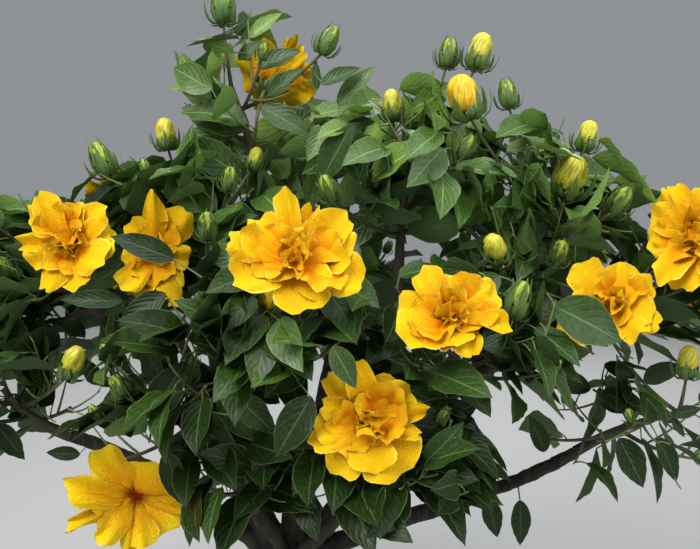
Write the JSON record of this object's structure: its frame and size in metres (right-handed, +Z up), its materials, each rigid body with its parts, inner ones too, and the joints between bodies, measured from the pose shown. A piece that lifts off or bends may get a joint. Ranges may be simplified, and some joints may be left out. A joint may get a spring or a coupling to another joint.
{
  "type": "hibiscus shrub",
  "caption": "Rooted hibiscus shrub: a short trunk forking low into spreading boughs, masses of leafy shoots with buds, and large double golden blooms.",
  "frame": {"origin": "the middle of the flat cut under the trunk, at ground level", "axes": "+Z up; the crown's front, with most of its blooms, faces -Y; +X to the right of it, along the crown's longest side"},
  "size_m": [1.0285, 0.6634, 0.9388],
  "materials": {
    "bark": "rough",
    "leaves": "satin",
    "petals": "matte"
  },
  "bodies": {
    "root": {"bloom_back": "petals", "bloom_back_left": "petals", "bloom_back_right": "petals", "bloom_back_top": "petals", "bloom_centre": "petals", "bloom_left": "petals", "bloom_left_back": "petals", "bloom_left_inner": "petals", "bloom_low": "petals", "bloom_low_left": "petals", "bloom_right": "petals", "bloom_right_centre": "petals", "bloom_right_edge": "petals", "bloom_side_left": "petals", "bloom_side_right": "petals", "bloom_top": "petals", "bough_back": "bark", "bough_back_left": "bark", "bough_back_right": "bark", "bough_centre_stem": "bark", "bough_front": "bark", "bough_left_low": "bark", "bough_left_stem": "bark", "bough_right": "bark", "bough_right_low": "bark", "branch_back_top": "bark", "branch_centre_front": "bark", "branch_front_left": "bark", "branch_left": "bark", "branch_left_front": "bark", "branch_right_front": "bark", "branch_top": "bark", "branch_top_right": "bark", "leaves_back": "leaves", "leaves_back_left": "leaves", "leaves_back_right": "leaves", "leaves_back_top": "leaves", "leaves_centre_front": "leaves", "leaves_front_left": "leaves", "leaves_front_low": "leaves", "leaves_left": "leaves", "leaves_left_front": "leaves", "leaves_left_low": "leaves", "leaves_right": "leaves", "leaves_right_front": "leaves", "leaves_right_low": "leaves", "leaves_top": "leaves", "leaves_top_left": "leaves", "leaves_top_right": "leaves", "leaves_upper_left": "leaves", "trunk": "bark"}
  },
  "joints": []
}
